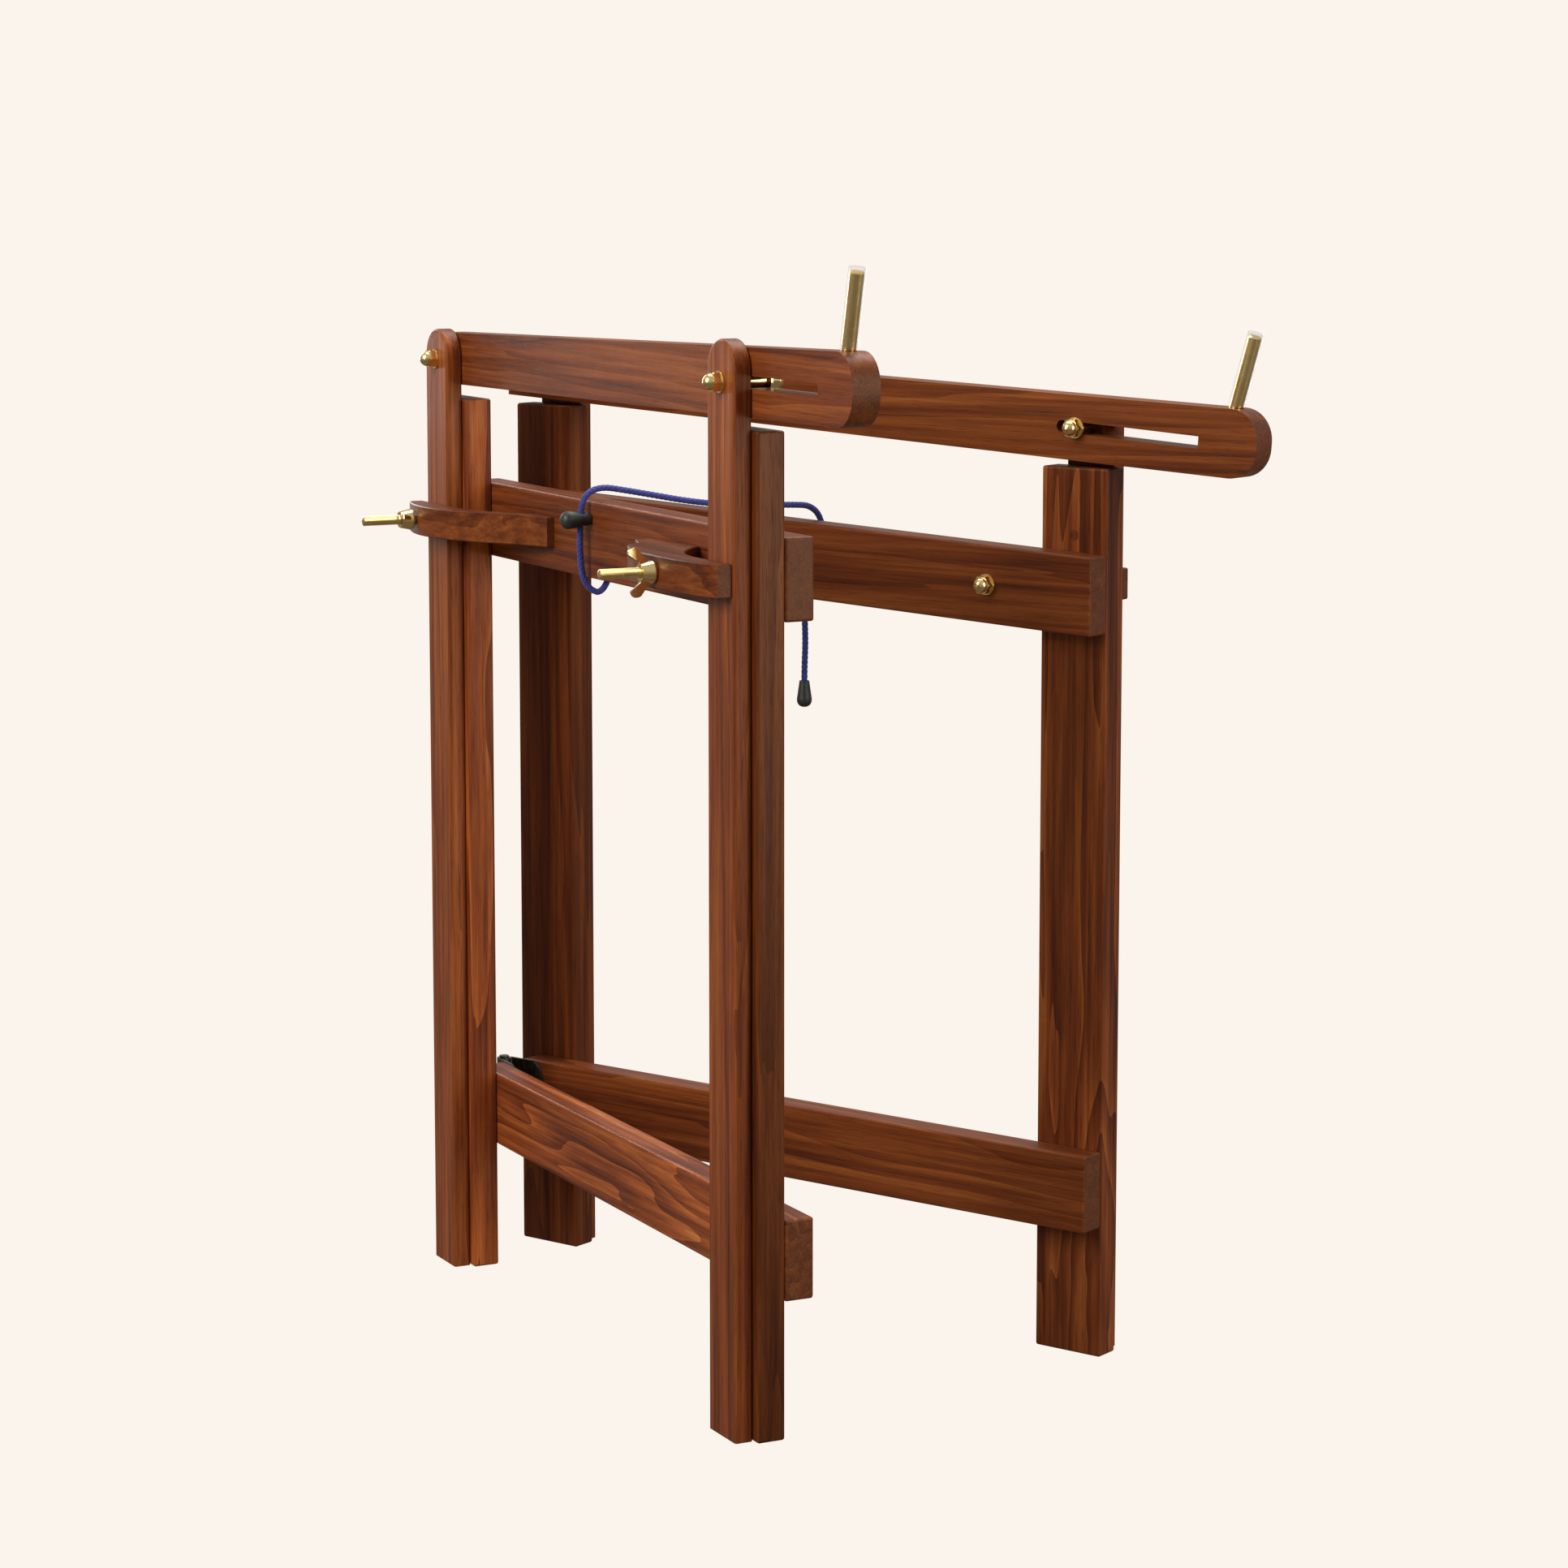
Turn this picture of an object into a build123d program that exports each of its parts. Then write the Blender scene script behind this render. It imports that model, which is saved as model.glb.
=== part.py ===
from build123d import *
import math
import os

# Folding loom stand: two flat hardwood frames hinged along one upright edge, like a book.
# Each frame is drawn flat: a runs from the hinge axis, b outward from the fold's plane, z up.

# Driving dimensions, in millimetres and degrees
FOLD_ANGLE = 25.8  # between the two frames as they stand
FOLD_GAP = 6.0  # from the fold's plane to a rail's inner face
RAIL_T = 23.0
RAIL_H = 60.0
RAIL_START = 16.0
LOWER_RAIL_Z = 102.0
UPPER_RAIL_Z = 592.0
LEG_T = 22.0
LEG_W = 59.0
HINGE_LEG_A = 24.0
OUTER_LEG_A = 548.0
POST_T = 14.0
POST_W = 43.0
LEG_TOPS = {"front": {"hinge": 720.0, "outer": 727.0}, "rear": {"hinge": 711.0, "outer": 684.0}}
POST_OVER_BOLT = {"hinge": 24.0, "outer": 30.0}  # the rear outer post is cut lower
REAR_OUTER_OVER_BOLT = 23.0
UPPER_SINK = {-1: (0.0, 0.0), 1: (8.0, 0.0428)}  # the rear upper rail slopes down outward
WOOD_ROUND = 2.0
CLEARANCE = 0.3  # between pieces that slide on each other

ARM_START = -1.0
ARM_END = 718.0
ARM_BOTTOM = (731.0, 737.0)  # at its start and end
ARM_TOP = (772.0, 788.5)
ARM_END_ROUND = 23.0
SLOT_W = 9.0
SLOT_LENGTH = 120.0
TAKE_UP = 14.0
BOLT_Z = (752.0, 760.5)
REAR_ARM_TILT = 3.43
REAR_ARM_DRAWN_IN = 12.0
REAR_BOLT_Z = 736.6

PIN_A = 692.0
PIN_R = 5.0
PIN_LEAN = 13.0
PIN_HEIGHT = 55.0
PIN_DEPTH = 25.0
SLEEVE_R = 6.25
SLEEVE_TOP = 57.5
SLEEVE_DEPTH = 3.0
SLEEVE_NECK_R = 6.0
SLEEVE_NECK_TOP = 3.0

THREAD_R = 4.0
HOLE_R = 4.05
LEVER_HOLE_R = 4.5
WASHER_R = 8.0
WASHER_T = 1.5
NUT_FLATS = 13.0
NUT_HEX_H = 6.0
NUT_DOME_R = 6.0
NUT_BORE = 8.0

LEVER_H = 24.0
LEVER_FACE = 57.5  # from a rail's outer face to the lever's outer face at its stud
OUTER_STUD_A = 484.0
STUD_END = 101.0  # from a rail's outer face
BLIND = 4.0  # wood left under the hinge-side stud
WING_BORE_R = 4.06

HINGE_H = 32.0
HINGE_R = 6.0
LEAF_T = 2.5
LEAF_END = 38.0
LEAF_ROUND = 14.0
HINGE_PIN_R = 2.5
LOWER_HINGE_Z = 130.0
UPPER_HINGE_Z = 608.0
KNUCKLE_GAP = 0.4
SCREW_A = 30.0
SCREW_R = 1.75
SCREW_HEAD_R = 3.5

CORD_R = 2.5
CORD_BEND = 10.0
CORD_HOLE_R = 4.0
FRONT_CORD_A = 247.0
REAR_CORD_A = 300.0
TAIL_A = 303.0
TAIL_B = 17.0
BELL_TOP_Z = 504.0
BELL_H = 21.0

# Derived places
RAIL_OUT = FOLD_GAP + RAIL_T
LEG_OUT = RAIL_OUT + LEG_T
POST_OUT = LEG_OUT + POST_T
RAIL_END = OUTER_LEG_A + LEG_W / 2
RAIL_MID = RAIL_H / 2
SIDES = {"front": -1, "rear": 1}
LEG_AS = {"hinge": HINGE_LEG_A, "outer": OUTER_LEG_A}


def block(side, a, b, z, edge=0.0):
    """A board between the two ends of a, b and z, in one frame."""
    size = Box(a[1] - a[0], b[1] - b[0], z[1] - z[0])
    board = Pos(sum(a) / 2, side * sum(b) / 2, sum(z) / 2) * size
    return fillet(board.edges(), edge) if edge else board


def rod(side, a, b, z, radius):
    """A round bar across the frame."""
    bar = Cylinder(radius, b[1] - b[0])
    return Pos(a, side * sum(b) / 2, z) * Rot(90, 0, 0) * bar


def seat(side, a, b, z, outward=1):
    """A place on a face, with its own +Z pointing out of the fold, or in with outward -1."""
    return Pos(a, side * b, z) * Rot(-90 * side * outward, 0, 0)


def slab(side, outline, b):
    """An outline drawn in a and z, as thick as b says."""
    near = side * b[0] if side < 0 else side * b[1]
    return extrude(Pos(0, near, 0) * (Plane.XZ * outline), amount=b[1] - b[0])


def sink(side, a):
    """How far below its level place an upper piece of the frame sits."""
    start, slope = UPPER_SINK[side]
    return start + slope * a


def clamp_z(side, a):
    return UPPER_RAIL_Z + RAIL_MID - sink(side, a)


def bolt_zs(side):
    """The heights of the arm's two bolts."""
    if side < 0:
        return {"hinge": BOLT_Z[0], "outer": BOLT_Z[1]}
    tilt = math.radians(REAR_ARM_TILT)
    rise = BOLT_Z[1] - BOLT_Z[0]
    run = (OUTER_LEG_A - HINGE_LEG_A - rise * math.sin(tilt)) / math.cos(tilt)
    outer = REAR_BOLT_Z - run * math.sin(tilt) + rise * math.cos(tilt)
    return {"hinge": REAR_BOLT_Z, "outer": outer}


def leg(side, centre, top):
    a = (centre - LEG_W / 2, centre + LEG_W / 2)
    return block(side, a, (RAIL_OUT, LEG_OUT), (0, top), WOOD_ROUND)


def post(side, centre, top, bolt_z):
    """The narrow outer board, with a half-round top and a hole for the arm's bolt."""
    straight = top - POST_W / 2
    outline = Pos(centre, straight / 2) * Rectangle(POST_W, straight)
    outline += Pos(centre, straight) * Circle(POST_W / 2)
    board = slab(side, outline, (LEG_OUT, POST_OUT))
    board = fillet(board.edges().filter_by(GeomType.CIRCLE), WOOD_ROUND)
    return board - rod(side, centre, (LEG_OUT - 1, POST_OUT + 1), bolt_z, HOLE_R)


def rail(side, base):
    a = (RAIL_START, RAIL_END)
    return block(side, a, (FOLD_GAP, RAIL_OUT), (base, base + RAIL_H), WOOD_ROUND)


def upper_rail(side):
    """Level on the front frame, and sloping a little on the rear one."""
    ends = [(a, UPPER_RAIL_Z - sink(side, a)) for a in (RAIL_START, RAIL_END)]
    tops = [(a, z + RAIL_H) for a, z in reversed(ends)]
    outline = make_face(Polyline(*ends, *tops, close=True))
    board = slab(side, outline, (FOLD_GAP, RAIL_OUT))
    return fillet(board.edges(), WOOD_ROUND)


def arm_top(a):
    return ARM_TOP[0] + (ARM_TOP[1] - ARM_TOP[0]) * (a - ARM_START) / (ARM_END - ARM_START)


def arm_place(side):
    """Where an arm drawn level goes: the rear one is tilted and drawn in along its slots."""
    if side < 0:
        return Pos(0, 0, 0)
    turned = Pos(HINGE_LEG_A, 0, REAR_BOLT_Z) * Rot(0, REAR_ARM_TILT, 0)
    return turned * Pos(-HINGE_LEG_A - REAR_ARM_DRAWN_IN, 0, -BOLT_Z[0])


def pin_place(side):
    middle = side * (RAIL_OUT + LEG_OUT) / 2
    return arm_place(side) * Pos(PIN_A, middle, arm_top(PIN_A)) * Rot(0, PIN_LEAN, 0)


def slot_outline(start, z, length, square_end):
    """A slot whose first end is round, about the bolt's place."""
    outline = Pos(start + length / 2, z) * Rectangle(length, SLOT_W)
    outline += Pos(start, z) * Circle(SLOT_W / 2)
    return outline if square_end else outline + Pos(start + length, z) * Circle(SLOT_W / 2)


def arm(side):
    """The tapered top arm, with a hidden short slot, a long open slot and the pin's hole."""
    corners = [
        (ARM_START, ARM_BOTTOM[0]),
        (ARM_END, ARM_BOTTOM[1]),
        (ARM_END, ARM_TOP[1]),
        (ARM_START, ARM_TOP[0]),
    ]
    outline = make_face(Polyline(*corners, close=True))
    outer = outline.vertices().group_by(Axis.X)[-1]
    outline = fillet(outer, ARM_END_ROUND)
    outline -= slot_outline(HINGE_LEG_A, BOLT_Z[0], TAKE_UP, False)
    outline -= slot_outline(OUTER_LEG_A, BOLT_Z[1], SLOT_LENGTH, True)
    bar = arm_place(side) * slab(side, outline, (RAIL_OUT + CLEARANCE, LEG_OUT - CLEARANCE))
    place = pin_place(side)
    bar -= place * Pos(0, 0, -PIN_DEPTH) * hollow_free(PIN_R, PIN_DEPTH + 9)
    bar -= place * Pos(0, 0, -SLEEVE_DEPTH) * hollow_free(SLEEVE_NECK_R, SLEEVE_DEPTH + 9)
    return bar


def hollow_free(radius, height):
    """A cylinder that stands on its own base."""
    return Cylinder(radius, height, align=(Align.CENTER, Align.CENTER, Align.MIN))


def arm_pin(side):
    brass = hollow_free(PIN_R, PIN_DEPTH + PIN_HEIGHT)
    brass = chamfer(brass.edges().group_by(Axis.Z)[-1], 1.0)
    return pin_place(side) * Pos(0, 0, -PIN_DEPTH) * brass


def pin_sleeve(side):
    """A clear tube over the pin, with a slightly narrower neck pressed into the arm."""
    neck = Pos(0, 0, -SLEEVE_DEPTH) * hollow_free(SLEEVE_NECK_R, SLEEVE_DEPTH + SLEEVE_NECK_TOP)
    body = Pos(0, 0, SLEEVE_NECK_TOP) * hollow_free(SLEEVE_R, SLEEVE_TOP - SLEEVE_NECK_TOP)
    bore = Pos(0, 0, -SLEEVE_DEPTH) * hollow_free(PIN_R, SLEEVE_DEPTH + SLEEVE_TOP)
    return pin_place(side) * (neck + body - bore)


def acorn_nut():
    """A domed hexagon nut that stands on its seat, with a blind bore."""
    hexagon = RegularPolygon(NUT_FLATS / 2, 6, major_radius=False)
    body = extrude(hexagon, amount=NUT_HEX_H)
    body &= Pos(0, 0, NUT_HEX_H / 2) * Sphere(7.7)
    body += Pos(0, 0, NUT_HEX_H) * Sphere(NUT_DOME_R)
    lower = Pos(0, 0, -NUT_DOME_R) * Box(30, 30, 2 * NUT_DOME_R)
    return body - lower - hollow_free(HOLE_R, NUT_BORE)


def washer():
    return extrude(Circle(WASHER_R) - Circle(HOLE_R), amount=WASHER_T)


def wing_nut():
    """A flared nut with two rounded wings, standing on its seat."""
    body = Cone(8.5, 6.5, 9, align=(Align.CENTER, Align.CENTER, Align.MIN))
    edge = [(4.5, 1.5), (8, 2), (15.5, 8.5)]
    tip = ThreePointArc((15.5, 8.5), (17.6, 14), (13, 17))
    outline = Polyline(*edge) + tip + Polyline((13, 17), (7, 9), (4.5, 8.5), (4.5, 1.5))
    wing = extrude(Plane.XZ * make_face(outline), amount=1.5, both=True)
    nut = body + wing + Rot(0, 0, 180) * wing
    return nut - Pos(0, 0, -1) * hollow_free(WING_BORE_R, 20)


def lever(side, outline, stud_a):
    """A shaped wooden clamp lever, drawn in a and in height over the rail's outer face."""
    points = make_face(outline)
    base = clamp_z(side, stud_a) - LEVER_H / 2
    piece = extrude(points, amount=LEVER_H)
    if side < 0:
        piece = mirror(piece, about=Plane.XZ)
    piece = Pos(0, side * (RAIL_OUT + CLEARANCE), base) * piece
    hole = rod(side, stud_a, (RAIL_OUT - 1, RAIL_OUT + 80), base + LEVER_H / 2, LEVER_HOLE_R)
    flat = chamfer(piece.faces().filter_by(Axis.Z).edges(), 0.8)
    return flat - hole


def hinge_lever_outline():
    """Its root bears on the post and its tip on the rail, past the leg."""
    over_post = LEG_T + POST_T
    root = Line((-8, over_post), (-8, 47))
    back = Spline((-8, 47), (22, 55.5), (62, 56), (112, 38), (150, 16), (178, 6))
    tip = Polyline((178, 6), (178, 0), (150, 0))
    scoop = ThreePointArc((150, 0), (112, 24), (66, over_post))
    return root + back + tip + scoop + Line((66, over_post), (-8, over_post))


def outer_lever_outline():
    """Its heel bears on the rail and its tip on the post, past the leg's edge."""
    over_post = LEG_T + POST_T
    heel = Polyline((372, 0), (372, 20), (396, 29), (398, 37))
    back = Spline((398, 37), (440, 54), (OUTER_STUD_A, LEVER_FACE), (532, 55), (566, 47))
    tip = Polyline((566, 47), (566, over_post), (505, over_post))
    scoop = ThreePointArc((505, over_post), (470, 26), (440, 0))
    return heel + back + tip + scoop + Line((440, 0), (372, 0))


def clamp_stud(side, a, start):
    bar = rod(side, a, (start, RAIL_OUT + STUD_END), clamp_z(side, a), THREAD_R)
    return chamfer(bar.edges().filter_by(GeomType.CIRCLE), 0.6)


def dowel_places(side):
    """Two hidden dowels where each rail crosses each leg."""
    for a in (HINGE_LEG_A + 10, OUTER_LEG_A + 10):
        for middle in (LOWER_RAIL_Z + RAIL_MID, clamp_z(side, a)):
            for lift in (-18, 18):
                yield a, middle + lift


def dowel(side, a, z):
    return rod(side, a, (RAIL_OUT - 13, RAIL_OUT + 14), z, 4.0)


def plug(side, a):
    """A wooden plug in the leg, just over the upper rail."""
    return rod(side, a, (RAIL_OUT, RAIL_OUT + 6), clamp_z(side, a) + RAIL_MID + 12, 4.0)


def hinge_leaf(side, base, own):
    """A surface-mounted leaf with rounded corners and the knuckles it owns, of three."""
    plate = block(side, (0, LEAF_END), (FOLD_GAP - LEAF_T, FOLD_GAP), (base, base + HINGE_H))
    corners = plate.edges().filter_by(Axis.Y).group_by(Axis.X)[-1]
    leaf = fillet(corners, LEAF_ROUND)
    step = HINGE_H / 3
    for index in range(3):
        z = base + index * step
        if index in own:
            leaf += Pos(0, 0, z + KNUCKLE_GAP / 2) * hollow_free(HINGE_R, step - KNUCKLE_GAP)
        else:
            room = hollow_free(HINGE_R + 0.6, step + KNUCKLE_GAP)
            leaf -= Pos(0, 0, z - KNUCKLE_GAP / 2) * room
    return leaf - Pos(0, 0, base - 1) * hollow_free(HINGE_PIN_R + 0.06, HINGE_H + 2)


def hinge_pin(base):
    pin = hollow_free(HINGE_PIN_R, HINGE_H)
    for z in (-1.5, HINGE_H):
        pin += Pos(0, 0, z) * hollow_free(4.0, 1.5)
    return Pos(0, 0, base) * pin


def hinge_screws(side, base):
    """Two countersunk screws hold each leaf."""
    for z in (base + 8, base + HINGE_H - 8):
        place = seat(side, SCREW_A, FOLD_GAP - LEAF_T, z)
        head = Cone(SCREW_HEAD_R, SCREW_R, 2, align=(Align.CENTER, Align.CENTER, Align.MIN))
        yield place * (head + hollow_free(SCREW_R, 9.5))


def bell(height, top_r, wide_r, bore_r=0.0):
    """A moulded cord end: narrow at the top, wide and domed at the bottom."""
    wide = -height * 0.66
    side_line = Polyline((0, 0), (top_r, 0), (wide_r, wide))
    dome = Spline((wide_r, wide), (wide_r * 0.72, -height * 0.93), (0, -height))
    shape = revolve(Plane.XZ * make_face(side_line + dome + Line((0, -height), (0, 0))), Axis.Z)
    if bore_r:
        shape -= Pos(0, 0, -8) * hollow_free(bore_r, 9)
    return shape


def placed(frame, shape):
    """Swings a frame's piece from the fold's plane to where it stands."""
    return Rot(0, 0, SIDES[frame] * FOLD_ANGLE / 2) * shape


def spot(frame, a, b, z):
    """The standing place of a point of one frame."""
    turn = math.radians(SIDES[frame] * FOLD_ANGLE / 2)
    y = SIDES[frame] * b
    return (a * math.cos(turn) - y * math.sin(turn), a * math.sin(turn) + y * math.cos(turn), z)


def cord_route():
    """From a hole in the rear rail's back, over both rails, down and under the front rail."""
    rear = [(24, 594), (44, 595), (47, 614), (42, 633), (28, 642), (8, 644)]
    front = [(-2, 659), (22, 663), (36, 655), (38, 632), (38, 606), (34, 586), (18, 578), (12, 597)]
    start = [spot("rear", REAR_CORD_A, b, z) for b, z in rear]
    finish = [spot("front", FRONT_CORD_A, b, z) for b, z in front]
    middle = tuple((p + q) / 2 for p, q in zip(start[-1], finish[0]))
    return start + [(middle[0], middle[1], middle[2] - 6)] + finish


def tail_route():
    """From under the rear rail, straight down to the bell end."""
    levels = [(0, 577), (0, 560), (1.5, 535), (0, 513), (0, BELL_TOP_Z - 7)]
    return [spot("rear", TAIL_A, TAIL_B + b, z) for b, z in levels]


def tube(points, bend):
    path = FilletPolyline(*points, radius=bend)
    start = Plane(origin=path @ 0, z_dir=path % 0)
    return sweep(start * Circle(CORD_R), path=path)


def frame_nodes(frame):
    """Every piece of one frame, drawn flat."""
    side = SIDES[frame]
    bolts, tops = bolt_zs(side), LEG_TOPS[frame]
    over = dict(POST_OVER_BOLT)
    if frame == "rear":
        over["outer"] = REAR_OUTER_OVER_BOLT
    lower, upper = rail(side, LOWER_RAIL_Z), upper_rail(side)
    legs = {n: leg(side, a, tops[n]) for n, a in LEG_AS.items()}
    posts = {n: post(side, a, bolts[n] + over[n], bolts[n]) for n, a in LEG_AS.items()}

    dowels = [dowel(side, a, z) for a, z in dowel_places(side)]
    lower -= dowels
    upper -= dowels
    legs = {n: piece - dowels for n, piece in legs.items()}
    plugs = {n: plug(side, a) for n, a in LEG_AS.items()}
    legs = {n: legs[n] - plugs[n] for n in legs}

    hinge_z, outer_z = clamp_z(side, HINGE_LEG_A), clamp_z(side, OUTER_STUD_A)
    blind = rod(side, HINGE_LEG_A, (FOLD_GAP + BLIND, POST_OUT + 1), hinge_z, HOLE_R)
    upper -= [blind, rod(side, OUTER_STUD_A, (0, RAIL_OUT + 1), outer_z, HOLE_R)]
    legs["hinge"] -= blind
    posts["hinge"] -= blind

    own = {"front": (0, 2), "rear": (1,)}[frame]
    leaves = {z: hinge_leaf(side, z, own) for z in (LOWER_HINGE_Z, UPPER_HINGE_Z)}
    screws = [s for z in leaves for s in hinge_screws(side, z)]
    lower -= screws
    upper -= screws
    upper -= cord_holes(frame)

    nodes = {
        "lower_rail": lower,
        "upper_rail": upper,
        "arm": arm(side),
        "arm_pin": arm_pin(side),
        "pin_sleeve": pin_sleeve(side),
        "lower_hinge_leaf": leaves[LOWER_HINGE_Z] - screws,
        "upper_hinge_leaf": leaves[UPPER_HINGE_Z] - screws,
        "hinge_screws": Compound(screws),
        "dowels": Compound(dowels),
        "plugs": Compound(list(plugs.values())),
    }
    for n in LEG_AS:
        nodes[f"{n}_leg"] = legs[n]
        nodes[f"{n}_post"] = posts[n]
    nodes.update(fastener_nodes(side, bolts))
    nodes.update(clamp_nodes(side))
    return nodes


def cord_holes(frame):
    if frame == "front":
        return [Pos(FRONT_CORD_A, -12, UPPER_RAIL_Z - 1) * hollow_free(CORD_HOLE_R, 15)]
    back = rod(1, REAR_CORD_A, (RAIL_OUT - 12, RAIL_OUT + 1), 594, CORD_HOLE_R)
    bottom = UPPER_RAIL_Z - sink(1, TAIL_A) - 2
    return [back, Pos(TAIL_A, TAIL_B, bottom) * hollow_free(CORD_HOLE_R, 15)]


def fastener_nodes(side, bolts):
    """The arm's two bolts, with a domed nut and a washer at both ends of each."""
    inner, outer = RAIL_OUT, POST_OUT
    rods, nuts, washers = [], [], []
    for n, a in LEG_AS.items():
        z = bolts[n]
        ends = (inner - WASHER_T - NUT_BORE + 0.5, outer + WASHER_T + NUT_BORE - 0.5)
        rods.append(rod(side, a, ends, z, THREAD_R))
        washers += [seat(side, a, outer, z) * washer(), seat(side, a, inner, z, -1) * washer()]
        nuts.append(seat(side, a, outer + WASHER_T, z) * acorn_nut())
        nuts.append(seat(side, a, inner - WASHER_T, z, -1) * acorn_nut())
    stud_z = clamp_z(side, OUTER_STUD_A)
    stud_nut = seat(side, OUTER_STUD_A, FOLD_GAP - WASHER_T, stud_z, -1) * acorn_nut()
    return {
        "arm_bolts": Compound(rods),
        "arm_bolt_nuts": Compound(nuts),
        "arm_bolt_washers": Compound(washers),
        "clamp_stud_nut": stud_nut,
        "clamp_stud_washer": seat(side, OUTER_STUD_A, FOLD_GAP, stud_z, -1) * washer(),
    }


def clamp_nodes(side):
    """The two clamps: each is a stud, a lever, a washer and a wing nut turned its own way."""
    nodes = {}
    clamps = {
        "hinge": (HINGE_LEG_A, hinge_lever_outline(), FOLD_GAP + BLIND, 12),
        "outer": (OUTER_STUD_A, outer_lever_outline(), FOLD_GAP - WASHER_T - NUT_BORE + 0.5, 100),
    }
    for n, (a, outline, start, turn) in clamps.items():
        nodes[f"{n}_clamp_stud"] = clamp_stud(side, a, start)
        nodes[f"{n}_clamp_lever"] = lever(side, outline, a)
        face, z = RAIL_OUT + LEVER_FACE + 2 * CLEARANCE + 0.4, clamp_z(side, a)
        nodes[f"{n}_clamp_washer"] = seat(side, a, face, z) * washer()
        nodes[f"{n}_wing_nut"] = seat(side, a, face + WASHER_T, z) * Rot(0, 0, turn) * wing_nut()
    return nodes


def all_nodes():
    nodes = {}
    for frame in SIDES:
        for name, piece in frame_nodes(frame).items():
            nodes[f"{frame}_{name}"] = placed(frame, piece)
    nodes["lower_hinge_pin"] = placed("front", hinge_pin(LOWER_HINGE_Z))
    nodes["upper_hinge_pin"] = placed("front", hinge_pin(UPPER_HINGE_Z))
    toggle_place = Pos(*spot("front", FRONT_CORD_A, RAIL_OUT + 1, 638))
    swing = Rot(0, 0, SIDES["front"] * FOLD_ANGLE / 2)
    toggle = toggle_place * swing * Rot(-90, 0, 0) * bell(24, 4.6, 7.0)
    cord, tail = tube(cord_route(), CORD_BEND), tube(tail_route(), 14)
    passage = Pos(*spot("front", FRONT_CORD_A, 37.5, 620)) * hollow_free(CORD_R + 1.2, 36)
    nodes["cord_toggle"] = toggle - passage
    nodes["stay_cord"] = cord
    nodes["cord_tail"] = tail
    bottom = spot("rear", TAIL_A, TAIL_B, BELL_TOP_Z)
    nodes["tail_bell_end"] = Pos(*bottom) * bell(BELL_H, 3.9, 5.9, CORD_R + 0.05)
    return nodes


CORD_NODES = ("stay_cord", "cord_tail", "cord_toggle", "tail_bell_end")
NODES = all_nodes()
SOLID_BOX = Compound([s for n, s in NODES.items() if n not in CORD_NODES]).bounding_box()
CENTRE = SOLID_BOX.center()
SHIFT = (-CENTRE.X, -CENTRE.Y, -SOLID_BOX.min.Z)  # the origin is under the middle of the box

os.makedirs("parts", exist_ok=True)
for name, piece in NODES.items():
    export_step(Pos(*SHIFT) * piece, f"parts/{name}.step")
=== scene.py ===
import bpy
import math
from mathutils import Matrix, Vector


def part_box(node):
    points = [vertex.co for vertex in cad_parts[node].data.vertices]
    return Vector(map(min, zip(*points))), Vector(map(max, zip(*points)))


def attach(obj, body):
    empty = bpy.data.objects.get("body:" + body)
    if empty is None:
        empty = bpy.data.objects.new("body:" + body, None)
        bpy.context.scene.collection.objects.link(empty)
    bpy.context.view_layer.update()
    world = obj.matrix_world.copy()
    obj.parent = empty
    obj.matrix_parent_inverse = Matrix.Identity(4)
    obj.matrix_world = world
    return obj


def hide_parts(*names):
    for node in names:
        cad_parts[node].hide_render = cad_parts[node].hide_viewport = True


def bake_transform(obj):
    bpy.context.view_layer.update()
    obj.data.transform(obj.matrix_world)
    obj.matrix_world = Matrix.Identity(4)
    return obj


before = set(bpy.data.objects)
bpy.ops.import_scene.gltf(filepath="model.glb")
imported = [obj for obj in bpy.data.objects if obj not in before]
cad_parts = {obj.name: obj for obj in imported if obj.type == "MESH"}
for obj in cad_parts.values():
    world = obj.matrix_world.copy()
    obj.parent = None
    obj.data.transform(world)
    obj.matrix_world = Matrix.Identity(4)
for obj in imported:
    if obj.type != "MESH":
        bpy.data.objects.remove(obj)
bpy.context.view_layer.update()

# The stand's own layout, in metres: a runs along a frame from the fold, b outward, z up
FOLD_ANGLE = math.radians(25.8)
TURN = {"front": -FOLD_ANGLE / 2, "rear": FOLD_ANGLE / 2}
SIDE = {"front": -1, "rear": 1}
pin_low, pin_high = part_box("lower_hinge_pin")
HINGE_X = (pin_low.x + pin_high.x) / 2
RAIL_OUT = 0.029
STUD_A = {"hinge": 0.024, "outer": 0.484}
THREAD_R = 0.004
THREAD_PITCH = 0.00125
THREAD_DEPTH = 0.00055
STUD_START = {"hinge": 0.010, "outer": -0.003}  # blind at the hinge, through at the outer end
STUD_TIP = RAIL_OUT + 0.101
POINT_LENGTH = 0.0012  # the tip's chamfer
POINT_NARROWS = 0.55
CORD_R = 0.0025


def spot(name, a, b, z):
    """The standing place of a point of one frame."""
    flat = Vector((a, SIDE[name] * b, z))
    return Matrix.Rotation(TURN[name], 3, "Z") @ flat + Vector((HINGE_X, 0, 0))


# ---------------------------------------------------------------- camera and light

CAMERA_SWING = math.radians(50.08)
CAMERA_TILT = 0.1258
CAMERA_FROM_HINGE = (0.2356, -3.3915, 0.929)  # right, forward and up


def make_camera():
    data = bpy.data.cameras.new("camera")
    data.sensor_width = 36
    data.lens = 94.4
    data.shift_y = -0.08
    camera = bpy.data.objects.new("camera", data)
    turn = Matrix.Rotation(CAMERA_SWING, 3, "Z")
    right, ahead, up = CAMERA_FROM_HINGE
    camera.location = turn @ Vector((right, ahead, up)) + Vector((HINGE_X, 0, 0))
    camera.rotation_euler = (math.pi / 2 - CAMERA_TILT, 0, CAMERA_SWING)
    bpy.context.collection.objects.link(camera)
    bpy.context.scene.camera = camera


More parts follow.
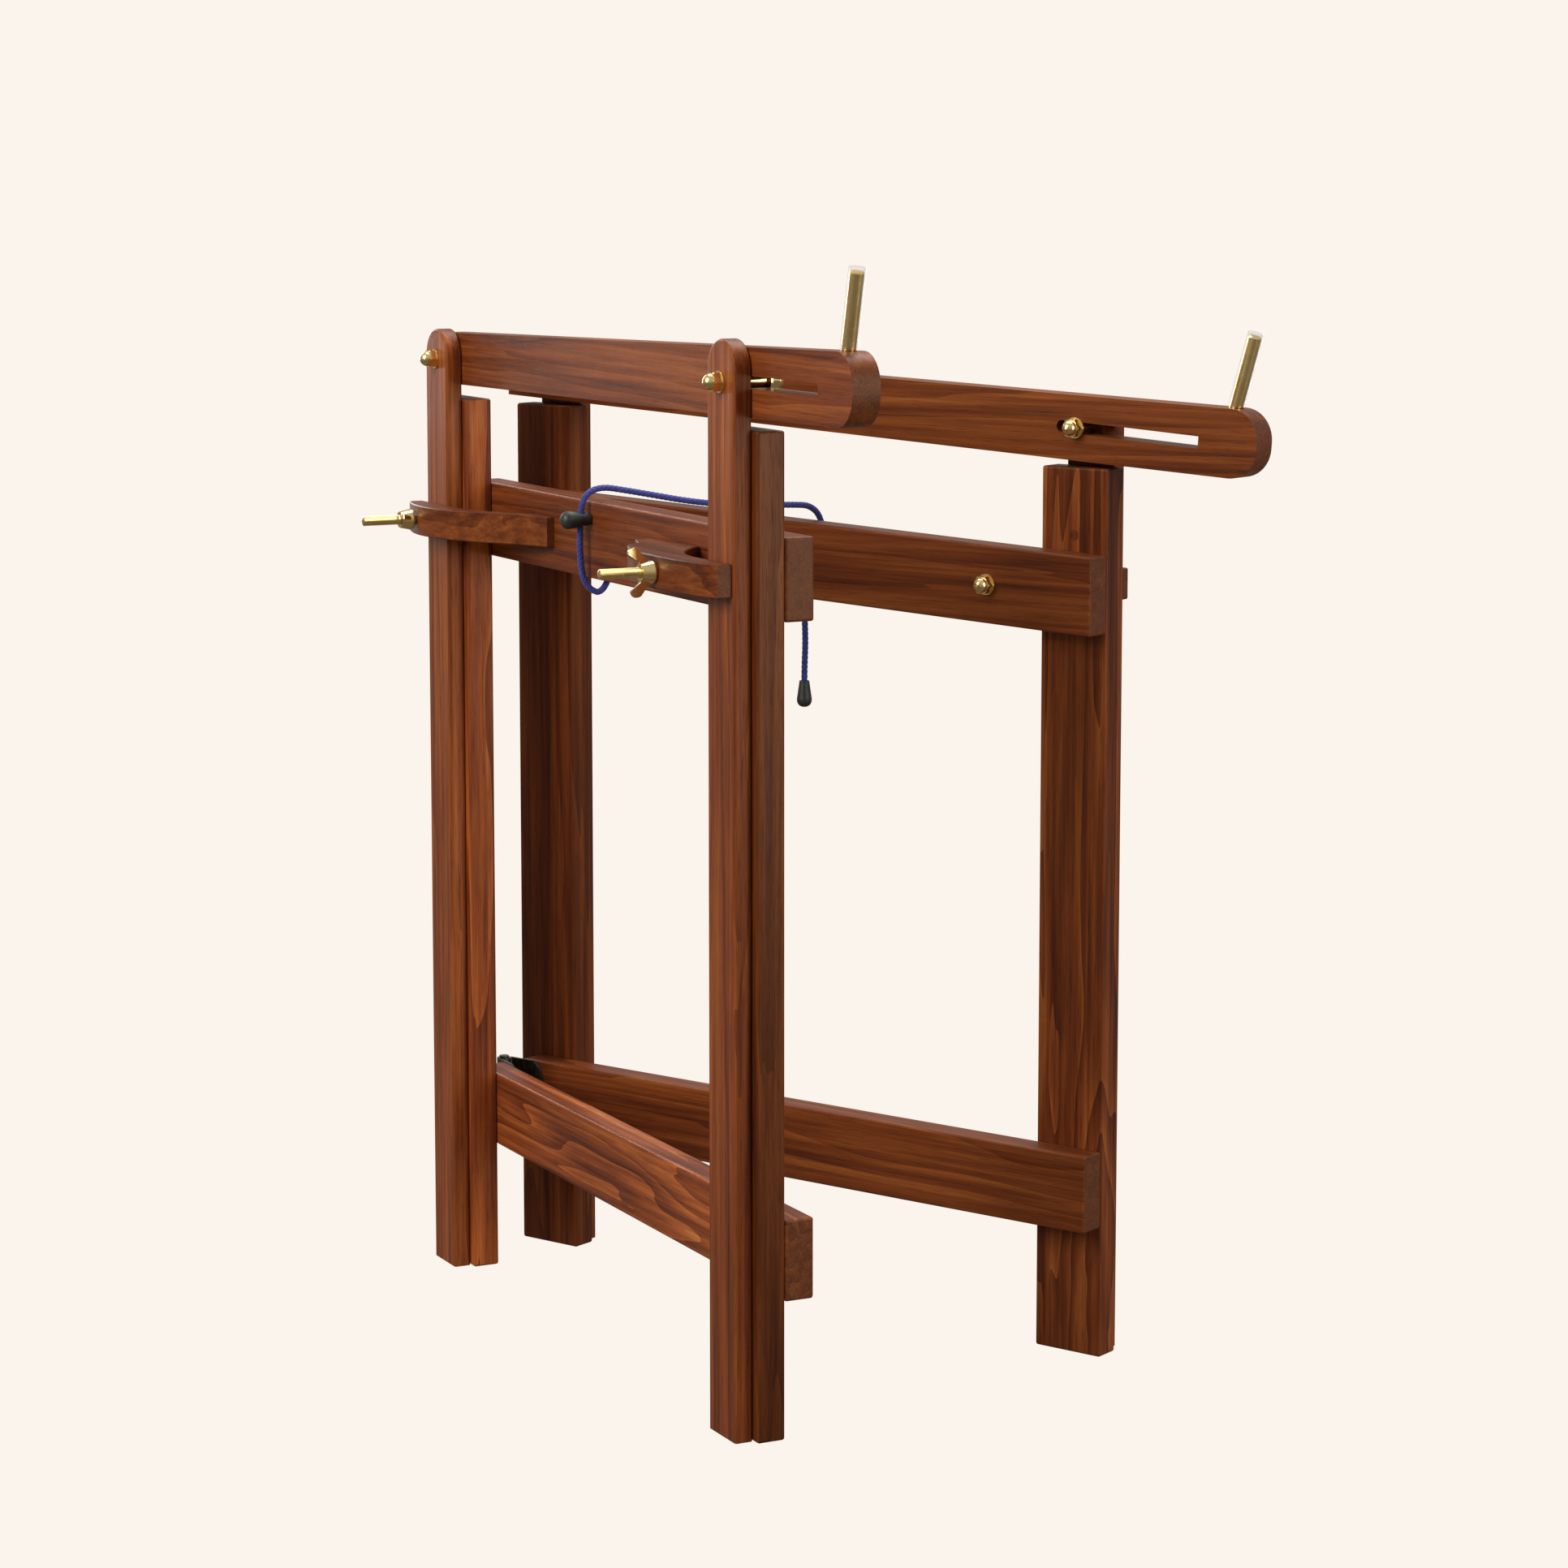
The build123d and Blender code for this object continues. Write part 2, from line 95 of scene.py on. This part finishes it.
def area_light(name, place, size, power, tint=(1, 1, 1)):
    """A soft box placed in the camera's own right, forward and up, aimed at the stand."""
    data = bpy.data.lights.new(name, "AREA")
    data.shape = "RECTANGLE"
    data.size, data.size_y = size
    data.energy = power
    data.color = tint
    light = bpy.data.objects.new(name, data)
    light.location = Matrix.Rotation(CAMERA_SWING, 3, "Z") @ Vector(place)
    aim = Vector((0, 0, 0.45)) - light.location
    light.rotation_euler = aim.to_track_quat("-Z", "Y").to_euler()
    bpy.context.collection.objects.link(light)


def make_lights():
    area_light("key", (-1.9, -1.6, 1.9), (1.3, 1.6), 62, (1.0, 0.97, 0.93))
    area_light("fill", (2.1, -1.5, 1.0), (0.9, 1.8), 30, (0.95, 0.97, 1.0))
    area_light("top", (0.2, 0.6, 2.4), (1.6, 1.2), 34)
    area_light("rim", (-1.2, 2.0, 1.2), (0.8, 1.4), 18)


def make_world():
    """A plain cream backdrop for the camera, and a soft room for light and reflections."""
    world = bpy.data.worlds.new("room")
    world.use_nodes = True
    tree = world.node_tree
    tree.nodes.clear()
    seen = tree.nodes.new("ShaderNodeBackground")
    seen.inputs["Color"].default_value = (0.965, 0.904, 0.838, 1)
    room = tree.nodes.new("ShaderNodeBackground")
    room.inputs["Strength"].default_value = 0.5
    place = tree.nodes.new("ShaderNodeTexCoord")
    split = tree.nodes.new("ShaderNodeSeparateXYZ")
    ramp = tree.nodes.new("ShaderNodeValToRGB")
    ramp.color_ramp.elements[0].position = 0.3
    ramp.color_ramp.elements[0].color = (0.32, 0.28, 0.24, 1)
    ramp.color_ramp.elements[1].position = 0.75
    ramp.color_ramp.elements[1].color = (1, 0.98, 0.95, 1)
    height = tree.nodes.new("ShaderNodeMapRange")
    height.inputs["From Min"].default_value = -1
    rays = tree.nodes.new("ShaderNodeLightPath")
    mix = tree.nodes.new("ShaderNodeMixShader")
    out = tree.nodes.new("ShaderNodeOutputWorld")
    join = tree.links.new
    join(place.outputs["Generated"], split.inputs[0])
    join(split.outputs["Z"], height.inputs["Value"])
    join(height.outputs[0], ramp.inputs[0])
    join(ramp.outputs[0], room.inputs["Color"])
    join(rays.outputs["Is Camera Ray"], mix.inputs[0])
    join(room.outputs[0], mix.inputs[1])
    join(seen.outputs[0], mix.inputs[2])
    join(mix.outputs[0], out.inputs[0])
    bpy.context.scene.world = world
    bpy.context.scene.view_settings.view_transform = "Standard"


# ---------------------------------------------------------------- materials


class Shader:
    """A material whose nodes are added and joined by short calls."""

    def __init__(self, name):
        self.material = bpy.data.materials.new(name)
        self.material.use_nodes = True
        self.tree = self.material.node_tree
        self.surface = self.tree.nodes["Principled BSDF"]

    def add(self, kind, inputs=None, **settings):
        node = self.tree.nodes.new("ShaderNode" + kind)
        for key, value in settings.items():
            setattr(node, key, value)
        for key, value in (inputs or {}).items():
            self.feed(node, key, value)
        return node

    def feed(self, node, key, value):
        if isinstance(value, bpy.types.NodeSocket):
            self.tree.links.new(value, node.inputs[key])
        else:
            node.inputs[key].default_value = value

    def set(self, **inputs):
        for key, value in inputs.items():
            self.feed(self.surface, key.replace("_", " "), value)

    def maths(self, how, first, second=0.0, third=0.0):
        return self.add("Math", {0: first, 1: second, 2: third}, operation=how).outputs[0]

    def ramp(self, factor, stops):
        node = self.add("ValToRGB", {0: factor})
        points = node.color_ramp.elements
        while len(points) < len(stops):
            points.new(0.5)
        for point, (position, colour) in zip(points, stops):
            point.position = position
            point.color = (*colour, 1)
        return node.outputs[0]

    def mix(self, factor, first, second, how="MIX"):
        node = self.add("Mix", data_type="RGBA", blend_type=how)
        self.feed(node, 0, factor)
        self.feed(node, 6, first)
        self.feed(node, 7, second)
        return node.outputs[2]

    def noise(self, vector, scale, detail=4.0, roughness=0.55, distortion=0.0):
        values = {"Vector": vector, "Scale": scale, "Detail": detail}
        values.update({"Roughness": roughness, "Distortion": distortion})
        return self.add("TexNoise", values).outputs[0]

    def bump(self, height, distance, strength=1.0):
        values = {"Height": height, "Distance": distance, "Strength": strength}
        return self.add("Bump", values).outputs[0]


WOOD_TONES = [
    (0.22, (0.030, 0.0070, 0.0035)),
    (0.38, (0.096, 0.0205, 0.0062)),
    (0.52, (0.180, 0.0410, 0.0095)),
    (0.66, (0.285, 0.0770, 0.0170)),
    (0.84, (0.420, 0.1500, 0.0390)),
]
END_GRAIN_TONES = [(0.3, (0.048, 0.014, 0.007)), (0.7, (0.145, 0.048, 0.020))]
BRASS_TONES = [(0.35, (0.87, 0.62, 0.25)), (0.7, (0.95, 0.75, 0.37))]
BRONZE_TONES = [(0.36, (0.045, 0.040, 0.032)), (0.56, (0.13, 0.11, 0.08)), (0.72, (0.32, 0.26, 0.17))]
CORD_TONES = [(0.3, (0.008, 0.009, 0.075)), (0.52, (0.021, 0.026, 0.22)), (0.75, (0.06, 0.075, 0.40))]


def wood(name, turn, upright, seed, bright=1.0, figure=1.0):
    """Oiled walnut: long wavy figure, dark streaks and open pores that run along the board."""
    s = Shader(name)
    place = s.add("TexCoord")
    shift = (0.31 * seed, 0.17 * seed, 0.43 * seed)
    turned = s.add("Mapping", {0: place.outputs["Object"], "Rotation": (0, 0, -turn)})
    moved = s.add("Mapping", {0: turned.outputs[0], "Location": shift})
    x, y, z = s.add("SeparateXYZ", {0: moved.outputs[0]}).outputs
    across, through, length = (x, y, z) if upright else (z, y, x)

    def stretched(amount):
        run = s.maths("MULTIPLY", length, amount)
        return s.add("CombineXYZ", {0: across, 1: through, 2: run}).outputs[0]

    slow, fast = stretched(0.085), stretched(0.022)
    broad = s.noise(slow, 17, 3, 0.5, 0.6)
    bent = s.maths("MULTIPLY", broad, 0.10 * figure)
    rings = s.add("CombineXYZ", {0: s.maths("ADD", across, bent), 1: through, 2: 0.0}).outputs[0]
    wave = {"Vector": rings, "Scale": 15.0, "Distortion": 0.9, "Detail": 3.0, "Detail Scale": 3.0}
    growth = s.add("TexWave", wave, wave_profile="SAW").outputs[1]
    streak = s.noise(fast, 170, 5, 0.6)
    hair = s.noise(fast, 620, 3, 0.6)
    tone = s.maths("MULTIPLY", growth, 0.13 * figure)
    tone = s.maths("ADD", tone, s.maths("MULTIPLY", streak, 0.66))
    tone = s.maths("ADD", tone, s.maths("MULTIPLY", broad, 0.40))
    tone = s.maths("ADD", tone, s.maths("MULTIPLY", hair, 0.20))
    tone = s.maths("ADD", tone, -0.125 - 0.065 * figure)
    colour = s.ramp(tone, WOOD_TONES)
    # bright multiplies the whole board's colour: partly the board's own tone, partly painted shade and
    # painted light set per board.
    colour = s.mix(1.0, colour, (bright, bright, bright, 1), "MULTIPLY")

    pores = s.ramp(s.noise(stretched(0.03), 1500, 2, 0.5), [(0.33, (0, 0, 0)), (0.43, (1, 1, 1))])
    colour = s.mix(0.35, colour, s.mix(1.0, colour, pores, "MULTIPLY"))

    grain = (0, 0, 1) if upright else (math.cos(turn), math.sin(turn), 0)
    facing = s.add("VectorMath", {0: place.outputs["Normal"], 1: grain}, operation="DOT_PRODUCT")
    end = s.maths("ABSOLUTE", facing.outputs["Value"])
    end = s.ramp(end, [(0.55, (0, 0, 0)), (0.9, (1, 1, 1))])
    speckle = s.ramp(s.noise(moved.outputs[0], 900, 3), END_GRAIN_TONES)
    colour = s.mix(s.maths("MULTIPLY", end, 0.75), colour, speckle)

    worn = s.noise(moved.outputs[0], 30, 4)
    rough = s.maths("MULTIPLY_ADD", worn, 0.22, 0.27)
    height = s.maths("ADD", pores, s.maths("MULTIPLY", streak, 0.5))
    s.set(Base_Color=colour, Roughness=rough, Normal=s.bump(height, 0.00012, 0.5))
    s.set(Specular_IOR_Level=0.25, Specular_Tint=(1.0, 0.68, 0.46, 1))
    return s.material


def brass(name, rough=0.13):
    """Polished brass with faint handling marks."""
    s = Shader(name)
    place = s.add("TexCoord").outputs["Object"]
    tarnish = s.ramp(s.noise(place, 90, 5), BRASS_TONES)
    marks = s.noise(place, 420, 3)
    gloss = s.maths("MULTIPLY_ADD", marks, 0.16, rough - 0.06)
    s.set(Base_Color=tarnish, Metallic=1.0, Roughness=gloss, Normal=s.bump(marks, 0.00003, 0.5))
    return s.material


def bronze():
    """Dark antique bronze, lighter where it is rubbed."""
    s = Shader("antique_bronze")
    place = s.add("TexCoord").outputs["Object"]
    patina = s.noise(place, 140, 6, 0.65)
    colour = s.ramp(patina, BRONZE_TONES)
    rough = s.maths("MULTIPLY_ADD", patina, 0.35, 0.2)
    s.set(Base_Color=colour, Metallic=0.9, Roughness=rough, Normal=s.bump(patina, 0.0001, 0.6))
    return s.material


def clear_sleeve():
    """Clear flexible tube, slightly scuffed."""
    s = Shader("clear_sleeve")
    place = s.add("TexCoord").outputs["Object"]
    scuff = s.noise(place, 260, 4)
    rough = s.maths("MULTIPLY_ADD", scuff, 0.1, 0.02)
    s.set(Base_Color=(0.97, 0.97, 0.95, 1), Roughness=rough, IOR=1.16)
    s.set(Transmission_Weight=1.0, Alpha=0.14, Normal=s.bump(scuff, 0.00004, 0.3))
    return s.material


def moulded_plastic():
    """Black moulded rubber with a fine spark-eroded texture."""
    s = Shader("moulded_plastic")
    place = s.add("TexCoord").outputs["Object"]
    speck = s.noise(place, 2600, 2)
    haze = s.noise(place, 160, 3)
    colour = s.ramp(haze, [(0.3, (0.012, 0.014, 0.012)), (0.75, (0.034, 0.037, 0.033))])
    s.set(Base_Color=colour, Roughness=0.46, Normal=s.bump(speck, 0.00008, 0.5))
    return s.material


def braid():
    """Blue braided cord: the plaits are in its mesh, and the fibres and tone are here."""
    s = Shader("braided_cord")
    place = s.add("TexCoord").outputs["Object"]
    fibre = s.noise(place, 2400, 3, 0.7)
    shade = s.noise(place, 320, 4)
    tone = s.maths("ADD", s.maths("MULTIPLY", fibre, 0.6), s.maths("MULTIPLY", shade, 0.4))
    colour = s.ramp(tone, CORD_TONES)
    s.set(Base_Color=colour, Roughness=0.72, Normal=s.bump(fibre, 0.0003, 0.7))
    s.set(Sheen_Weight=0.25, Sheen_Roughness=0.5)
    return s.material


# ---------------------------------------------------------------- carried-over CAD nodes


def paint(node, material):
    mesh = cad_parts[node].data
    mesh.materials.clear()
    mesh.materials.append(material)


def soften(node, width, segments=3):
    """Eases a node's sharp edges, without touching its own mesh."""
    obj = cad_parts[node]
    bevel = obj.modifiers.new("eased_edges", "BEVEL")
    bevel.width = width
    bevel.segments = segments
    bevel.limit_method = "ANGLE"
    bevel.angle_limit = math.radians(28)
    bevel.harden_normals = True


def paint_wood():
    """Each board has its own stretch of grain, along its length."""
    upright_boards = ["hinge_leg", "hinge_post", "outer_leg", "outer_post"]
    long_boards = ["lower_rail", "upper_rail", "arm", "hinge_clamp_lever", "outer_clamp_lever"]
    # Brightness per board: partly each board's own tone, partly painted shade and painted light,
    # darkening boards that look shaded and brightening boards that look lit.
    board_tone_and_painted_light = {"hinge_post": 1.15, "outer_post": 1.1, "outer_clamp_lever": 0.84, "hinge_clamp_lever": 0.82}
    board_tone_and_painted_light.update({"front_hinge_leg": 1.7, "front_outer_leg": 0.58, "front_lower_rail": 1.45})
    board_tone_and_painted_light.update({"rear_outer_leg": 1.15, "rear_lower_rail": 0.95})
    figures = {"front_hinge_leg": 1.7, "front_lower_rail": 1.7, "rear_outer_leg": 1.8}
    seed = 1
    for name, turn in TURN.items():
        for board in upright_boards + long_boards:
            seed += 1
            upright = board in upright_boards
            label = f"walnut_{name}_{board}"
            node = f"{name}_{board}"
            # The rear frame is made 0.92 as bright again, on top of the per-board brightness.
            bright = board_tone_and_painted_light.get(node, board_tone_and_painted_light.get(board, 1.0)) * (1.0 if name == "front" else 0.92)
            paint(node, wood(label, turn, upright, seed, bright, figures.get(node, 1.0)))
        end_wood = wood(f"walnut_{name}_pegs", turn, True, seed + 0.5, 0.8)
        paint(f"{name}_plugs", end_wood)
        paint(f"{name}_dowels", end_wood)
        soften(f"{name}_arm", 0.0016)
        for which in STUD_A:
            soften(f"{name}_{which}_clamp_lever", 0.0012)


def paint_metal():
    polished, dull, dark = brass("polished_brass"), brass("brass_hardware", 0.2), bronze()
    pin_brass = brass("pin_brass", 0.2)
    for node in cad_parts:
        if "hinge_leaf" in node or "hinge_screws" in node or "hinge_pin" in node:
            paint(node, dark)
            soften(node, 0.0004, 2)
        elif node.endswith(("wing_nut", "arm_pin")):
            paint(node, pin_brass if node.endswith("arm_pin") else polished)
            soften(node, 0.0007)
        elif "nut" in node or "bolt" in node or "washer" in node or "stud" in node:
            paint(node, dull)
            soften(node, 0.0003, 2)


def paint_plastic():
    clear, black = clear_sleeve(), moulded_plastic()
    for name in TURN:
        paint(f"{name}_pin_sleeve", clear)
        soften(f"{name}_pin_sleeve", 0.0002, 2)
    for node in ("cord_toggle", "tail_bell_end"):
        paint(node, black)
        soften(node, 0.0006)


# ---------------------------------------------------------------- threaded studs


def grid_mesh(name, rings):
    """A closed tube through rings of equal point counts."""
    count = len(rings[0])
    points = [p for ring in rings for p in ring]
    faces = []
    for row in range(len(rings) - 1):
        for i in range(count):
            j = (i + 1) % count
            low, high = row * count, (row + 1) * count
            faces.append((low + i, low + j, high + j, high + i))
    faces.append(tuple(reversed(range(count))))
    faces.append(tuple(range(len(points) - count, len(points))))
    mesh = bpy.data.meshes.new(name)
    mesh.from_pydata(points, [], faces)
    mesh.polygons.foreach_set("use_smooth", [True] * len(faces))
    obj = bpy.data.objects.new(name, mesh)
    bpy.context.collection.objects.link(obj)
    return obj


def threaded_stud(name, which, material):
    """A stud with a real helical thread, in the place of its plain rod."""
    node = f"{name}_{which}_clamp_stud"
    low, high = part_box(node)
    z = (low.z + high.z) / 2
    inner = STUD_START[which]
    length = STUD_TIP - inner
    around, per_pitch = 20, 6
    steps = round(length / THREAD_PITCH * per_pitch)
    rings = []
    for step in range(steps + 1):
        b = inner + length * step / steps
        edge = min(1.0, (STUD_TIP - b) / POINT_LENGTH + POINT_NARROWS)
        ring = []
        for i in range(around):
            angle = 2 * math.pi * i / around
            phase = (b / THREAD_PITCH - i / around) % 1.0
            depth = THREAD_DEPTH * min(1.0, 2.4 * abs(phase - 0.5))
            radius = (THREAD_R - depth) * edge
            a = STUD_A[which] + radius * math.cos(angle)
            ring.append(spot(name, a, b, z + radius * math.sin(angle)))
        rings.append(ring)
    stud = grid_mesh(f"{name}_{which}_threaded_stud", rings)
    stud.data.materials.append(material)
    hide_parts(node)
    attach(stud, f"{name}_frame")


def make_studs():
    material = brass("thread_brass", 0.22)
    for name in TURN:
        for which in STUD_A:
            threaded_stud(name, which, material)


# ---------------------------------------------------------------- cords

# Routes repeat the solid model's: (b, z) in each frame's own layout, in metres
FRONT_CORD_A = 0.247
REAR_CORD_A = 0.300
TAIL_A = 0.303
TAIL_B = 0.017
REAR_RUN = [
    (0.024, 0.594), (0.044, 0.595), (0.047, 0.614),
    (0.042, 0.633), (0.028, 0.642), (0.008, 0.644),
]
FRONT_RUN = [
    (-0.002, 0.659), (0.022, 0.663), (0.036, 0.655), (0.038, 0.632),
    (0.038, 0.606), (0.034, 0.586), (0.018, 0.578), (0.012, 0.597),
]
SAG = 0.006
TAIL_RUN = [(0, 0.577), (0, 0.560), (0.0015, 0.535), (0, 0.513), (0, 0.497)]


def smooth_line(name, points):
    """The points read along a NURBS spline through a route."""
    curve = bpy.data.curves.new(name, "CURVE")
    curve.dimensions = "3D"
    curve.resolution_u = 32
    spline = curve.splines.new("NURBS")
    spline.points.add(len(points) - 1)
    for point, place in zip(spline.points, points):
        point.co = (*place, 1)
    spline.order_u = 3
    spline.use_endpoint_u = True
    holder = bpy.data.objects.new(name, curve)
    bpy.context.collection.objects.link(holder)
    mesh = bpy.data.meshes.new_from_object(holder)
    line = [v.co.copy() for v in mesh.vertices]
    bpy.data.objects.remove(holder)
    return line


def even_line(line, step):
    """The same line with points at an even distance."""
    total = sum((q - p).length for p, q in zip(line, line[1:]))
    count = max(2, round(total / step))
    made, travelled, index = [line[0]], 0.0, 0
    for n in range(1, count):
        target = total * n / count
        while travelled + (line[index + 1] - line[index]).length < target:
            travelled += (line[index + 1] - line[index]).length
            index += 1
        span = (line[index + 1] - line[index]).length
        made.append(line[index].lerp(line[index + 1], (target - travelled) / span))
    return made + [line[-1]], total


def braided_tube(name, points, material):
    """A round cord whose surface is plaited from crossing strands."""
    step, around, plaits, lay = 0.0005, 32, 4, 0.0075
    line, total = even_line(smooth_line(name + "_line", points), step)
    side = Vector((0, 0, 1)).cross(line[1] - line[0])
    side = side if side.length > 1e-6 else Vector((1, 0, 0))
    rings = []
    for n, centre in enumerate(line):
        ahead = (line[min(n + 1, len(line) - 1)] - line[max(n - 1, 0)]).normalized()
        side = (side - ahead * side.dot(ahead)).normalized()
        other = ahead.cross(side)
        run = 2 * math.pi * n * total / len(line) / lay
        ring = []
        for i in range(around):
            angle = 2 * math.pi * i / around
            left = math.cos(plaits * angle + run * 2)
            right = math.cos(plaits * angle - run * 2)
            radius = CORD_R * (0.86 + 0.14 * max(left, right, 0.0) ** 0.6)
            ring.append(centre + side * radius * math.cos(angle) + other * radius * math.sin(angle))
        rings.append(ring)
    tube = grid_mesh(name, rings)
    tube.data.materials.append(material)
    return tube, total, line


def make_cords():
    blue = braid()
    start = [spot("rear", REAR_CORD_A, b, z) for b, z in REAR_RUN]
    finish = [spot("front", FRONT_CORD_A, b, z) for b, z in FRONT_RUN]
    middle = (start[-1] + finish[0]) / 2 - Vector((0, 0, SAG))
    route = start + [middle] + finish
    cord, length, line = braided_tube("stay_cord_braid", route, blue)
    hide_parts("stay_cord")
    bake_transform(cord)

    hang = [spot("rear", TAIL_A, TAIL_B + b, z) for b, z in TAIL_RUN]
    tail, length, line = braided_tube("cord_tail_braid", hang, blue)
    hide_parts("cord_tail")
    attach(tail, "rear_frame")


make_camera()
make_cords()
make_world()
make_lights()
paint_wood()
paint_metal()
paint_plastic()
make_studs()
